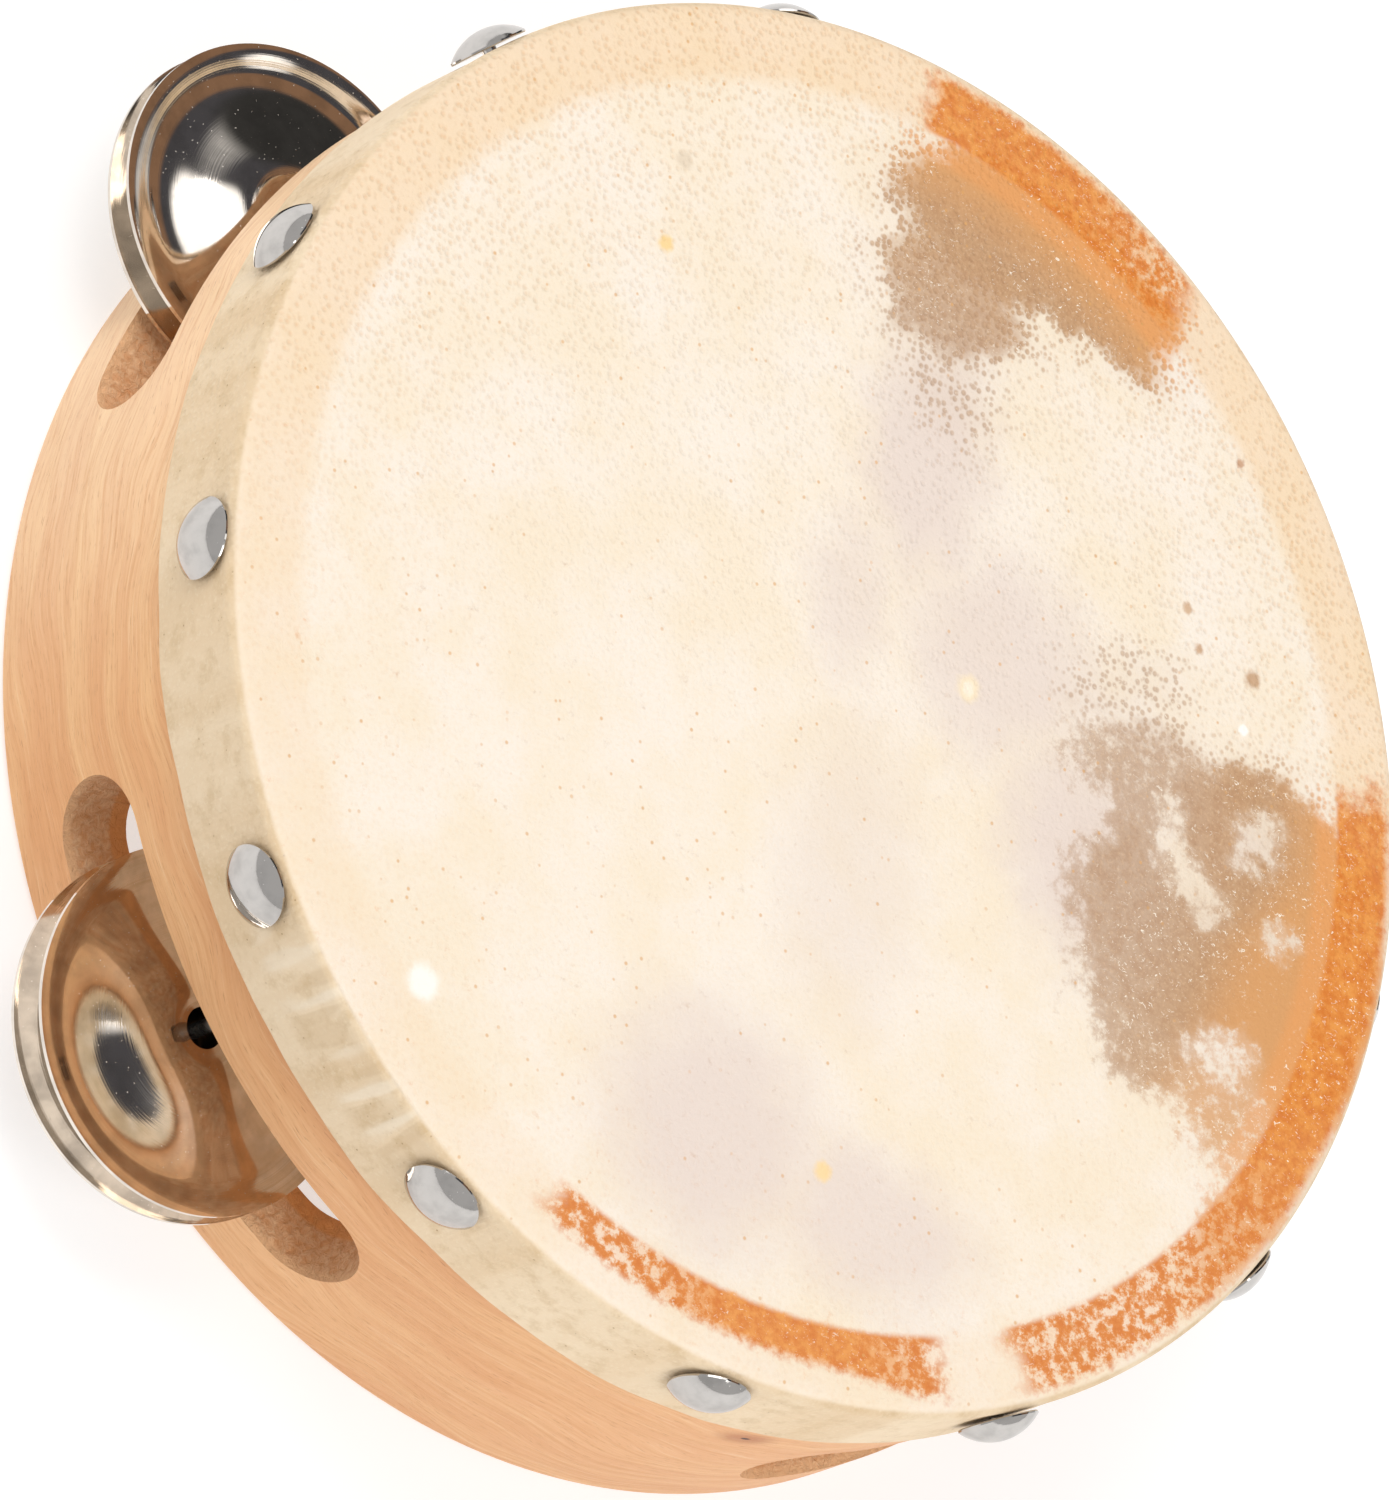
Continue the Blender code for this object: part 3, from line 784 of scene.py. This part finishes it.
def polished_material(name, color, roughness):
    """Bright metal, a little uneven, with faint turned rings and specks of dust."""
    material = bpy.data.materials.new(name)
    n = Nodes(material)
    p = n.position()
    blotch = n.noise(p, 0.35, 3.0)
    rings = n.noise(n.join(n.vector("LENGTH", p), 0.0, 0.0), 6.0, 2.0)
    dust = n.step(n.cells(p, 1.6), 0.1, 0.04)
    darker = tuple(0.8 * c for c in color)
    uneven = n.scale_to(blotch, roughness * 0.6, roughness * 1.5)
    n.set(base_color=n.mix(n.step(blotch, 0.35, 0.7), color, darker), metallic=1.0)
    n.set(roughness=n.math("ADD", uneven, n.math("MULTIPLY", dust, 0.25)))
    n.set(normal=n.bump(n.math("ADD", n.math("MULTIPLY", rings, 0.4), dust), 0.00001))
    return material


def outward_turn(angle):
    """Turns local Z to the outward direction at an angle round the hoop."""
    return Matrix.Rotation(math.radians(angle), 4, "Z") @ Matrix.Rotation(math.radians(90), 4, "Y")


def tack_profile():
    """Half outline of a tack, its head's underside at height 0."""
    cap = TACK_HEAD_HEIGHT - TACK_LIP
    sphere = (TACK_HEAD_RADIUS**2 + cap**2) / (2 * cap)
    opening = math.degrees(math.asin(TACK_HEAD_RADIUS / sphere))
    profile = arc((0.0, TACK_HEAD_HEIGHT - sphere), sphere, 90, 90 - opening, 14)
    profile[0] = (0.0, TACK_HEAD_HEIGHT)
    profile += [(TACK_HEAD_RADIUS, TACK_LIP * 0.4), (TACK_HEAD_RADIUS - 0.1 * MM, 0.0)]
    profile += [(TACK_SHANK_RADIUS, 0.0), (TACK_SHANK_RADIUS, 2 * MM - TACK_SHANK_LENGTH)]
    return profile + [(0.0, -TACK_SHANK_LENGTH)]


def make_tacks():
    material = polished_material("nickel_tack", srgb(196, 192, 188), 0.08)
    for number, (angle, level) in enumerate(TACKS, start=1):
        tack = turned(f"tack_{number:02d}_nickel", tack_profile(), 48)
        bake(tack)
        for vertex in tack.data.vertices:
            co = vertex.co
            if co.z > 0.2 * MM:
                mark = noise.noise(Vector((co.x * 260.0, co.y * 260.0, number * 3.7)))
                vertex.co.z += TACK_HAMMER_MARKS * mark
        tack.data.transform(outward_turn(angle))
        tack.location = around(angle, SKIN_RADIUS + TACK_GAP, level * MM)
        tack.data.materials.append(material)
        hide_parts(f"tack_{number:02d}")
        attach(tack, "hoop_body")


def jingle_surface(radius):
    """Height of the pressed sheet's middle above the rim, from the rim in to the hole."""
    valley = JINGLE_VALLEY_DEPTH * smooth_rise(JINGLE_RADIUS, JINGLE_VALLEY_RADIUS, radius)
    dome = JINGLE_DOME_HEIGHT * smooth_rise(JINGLE_VALLEY_RADIUS, JINGLE_CROWN_RADIUS, radius)
    dimple = JINGLE_DIMPLE_DEPTH * smooth_rise(JINGLE_CROWN_RADIUS, JINGLE_HOLE_RADIUS, radius)
    return dome - valley - dimple


def jingle_profile():
    """Half outline of a disc: its upper side from the hole out, then its lower side back."""
    steps = JINGLE_PROFILE_STEPS
    reach = JINGLE_HOLE_RADIUS - JINGLE_RADIUS
    radii = [JINGLE_RADIUS + reach * i / steps for i in range(steps + 1)]
    half = JINGLE_SHEET / 2
    upper = [(r, jingle_surface(r) + half) for r in reversed(radii)]
    return upper + [(r, jingle_surface(r) - half) for r in radii]


def make_jingle(name, angle, level, lean, flip):
    """One disc on its nail; lean is (outward, sideways), and flip turns its dome to the rear."""
    outward, sideways = lean
    jingle = turned(name, jingle_profile(), JINGLE_SEGMENTS)
    bake(jingle, 40.0)
    turn = Matrix.Rotation(math.radians(angle), 4, "Z")
    tilt = Matrix.Rotation(math.radians(-sideways), 4, "X")
    tilt @= Matrix.Rotation(math.radians(outward), 4, "Y")
    over = Matrix.Rotation(math.radians(flip), 4, "Y")
    jingle.data.transform(turn @ tilt @ over)
    jingle.location = around(angle, WALL_MIDDLE + JINGLE_HANG_OUT, level)
    return jingle


def make_jingles():
    material = polished_material("nickel_plate", srgb(232, 223, 212), 0.07)
    for number, (angle, front_lean, rear_lean) in enumerate(JINGLE_PAIRS, start=1):
        kinds = (
            ("front", FRONT_JINGLE_LEVEL, front_lean, 0.0),
            ("rear", REAR_JINGLE_LEVEL, rear_lean, 180.0),
        )
        for kind, level, lean, flip in kinds:
            jingle = make_jingle(f"jingle_{number}_{kind}_plate", angle, level, lean, flip)
            jingle.data.materials.append(material)
            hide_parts(f"jingle_{number}_{kind}")
            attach(jingle, f"jingle_{number}_{kind}_body")


def make_pins():
    material = polished_material("steel_nail", srgb(176, 172, 168), 0.25)
    head_top = PIN_HEAD_BOTTOM + PIN_HEAD_THICKNESS
    bevel = PIN_HEAD_BEVEL
    profile = [(0.0, PIN_TOP), (PIN_RADIUS, PIN_TOP - PIN_TIP_LENGTH), (PIN_RADIUS, head_top)]
    profile += [(PIN_HEAD_RADIUS, head_top), (PIN_HEAD_RADIUS, PIN_HEAD_BOTTOM + bevel)]
    profile += [(PIN_HEAD_RADIUS - bevel, PIN_HEAD_BOTTOM), (0.0, PIN_HEAD_BOTTOM)]
    for number, (angle, *_) in enumerate(JINGLE_PAIRS, start=1):
        pin = turned(f"jingle_pin_{number}_steel", profile, 32)
        bake(pin)
        pin.location = around(angle, WALL_MIDDLE, 0.0)
        pin.data.materials.append(material)
        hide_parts(f"jingle_pin_{number}")
        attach(pin, "hoop_body")


# ---------------------------------------------------------------- camera, floor and studio


CAMERA_PLACE = Vector((-602.4, -453.5, 902.4)) * MM
CAMERA_TARGET = Vector((-1.9, -0.3, 21.2)) * MM
CAMERA_ROLL = math.radians(67.01)
CAMERA_LENS = 265.3

# The floor lies just under the rear rim and gives off some light
FLOOR_SIZE = 3.0
FLOOR_GAP = 0.1 * MM
FLOOR_GLOW = 0.58

# Two soft boxes: azimuth and elevation in degrees, and power in watts
SOFT_BOXES = {"key": (130, 54, 7.6), "fill": (300, 46, 6.0)}
SOFT_BOX_SIZE = (0.7, 0.9)
SOFT_BOX_DISTANCE = 1.3
SOFT_BOX_TARGET = Vector((0.0, 0.0, 20.0)) * MM

# Studio round the tambourine: an even tone, then spots as azimuth, elevation, the angles in
# degrees within which a spot is full and past which it is gone, and its colour
STUDIO_COLOR = (0.62, 0.62, 0.62)
STUDIO_SPOTS = (
    (40, 60, 25, 31, (0.07, 0.07, 0.08)),
    (70, 15, 26, 34, (0.04, 0.04, 0.04)),
    (40, 46, 11, 14, (0.26, 0.15, 0.09)),
    (88, 71, 8, 13, (1.9, 1.9, 1.9)),
    (0, 58, 5, 8, (1.6, 1.6, 1.6)),
)


def make_camera():
    camera = link(bpy.data.objects.new("camera", bpy.data.cameras.new("camera")))
    camera.data.lens = CAMERA_LENS
    camera.data.sensor_width = 36.0
    camera.data.clip_start = 0.05
    camera.data.clip_end = 20.0
    camera.location = CAMERA_PLACE
    look = (CAMERA_TARGET - CAMERA_PLACE).to_track_quat("-Z", "Y")
    camera.rotation_mode = "QUATERNION"
    camera.rotation_quaternion = look @ Quaternion((0, 0, 1), CAMERA_ROLL)
    bpy.context.scene.camera = camera


def make_floor():
    bm = bmesh.new()
    bmesh.ops.create_grid(bm, x_segments=1, y_segments=1, size=FLOOR_SIZE)
    floor = mesh_object("floor", bm)
    floor.location.z = -FLOOR_GAP
    material = bpy.data.materials.new("floor")
    n = Nodes(material)
    n.set(base_color=(0.5, 0.5, 0.5), roughness=0.6)
    n.set(emission_color=(1.0, 1.0, 1.0), emission_strength=FLOOR_GLOW)
    floor.data.materials.append(material)


def direction(azimuth, elevation, distance=1.0):
    a, e = math.radians(azimuth), math.radians(elevation)
    return Vector((math.cos(a) * math.cos(e), math.sin(a) * math.cos(e), math.sin(e))) * distance


def soft_box(name, azimuth, elevation, power):
    """Rectangular light aimed at the tambourine."""
    data = bpy.data.lights.new(name, "AREA")
    data.shape = "RECTANGLE"
    data.size, data.size_y = SOFT_BOX_SIZE
    data.energy = power
    light = link(bpy.data.objects.new(name, data))
    light.location = direction(azimuth, elevation, SOFT_BOX_DISTANCE)
    aim = SOFT_BOX_TARGET - light.location
    light.rotation_mode = "QUATERNION"
    light.rotation_quaternion = aim.to_track_quat("-Z", "Y")


def make_studio():
    """Pale surroundings with dark areas and white panels, for the metal to reflect."""
    world = bpy.data.worlds.new("studio")
    n = Nodes(world)
    toward = n.node("ShaderNodeTexCoord").outputs["Generated"]
    color = STUDIO_COLOR
    for azimuth, elevation, full, none, spot_color in STUDIO_SPOTS:
        along = n.vector("DOT_PRODUCT", toward, tuple(direction(azimuth, elevation)))
        spot = n.step(along, math.cos(math.radians(none)), math.cos(math.radians(full)))
        color = n.mix(spot, color, spot_color)
    n.put(n.tree.nodes["Background"].inputs["Color"], color)
    bpy.context.scene.world = world
    bpy.context.scene.view_settings.view_transform = "Standard"
    for name, (azimuth, elevation, power) in SOFT_BOXES.items():
        soft_box(name, azimuth, elevation, power)


make_hoop()
make_skin()
make_tacks()
make_jingles()
make_pins()
make_camera()
make_floor()
make_studio()
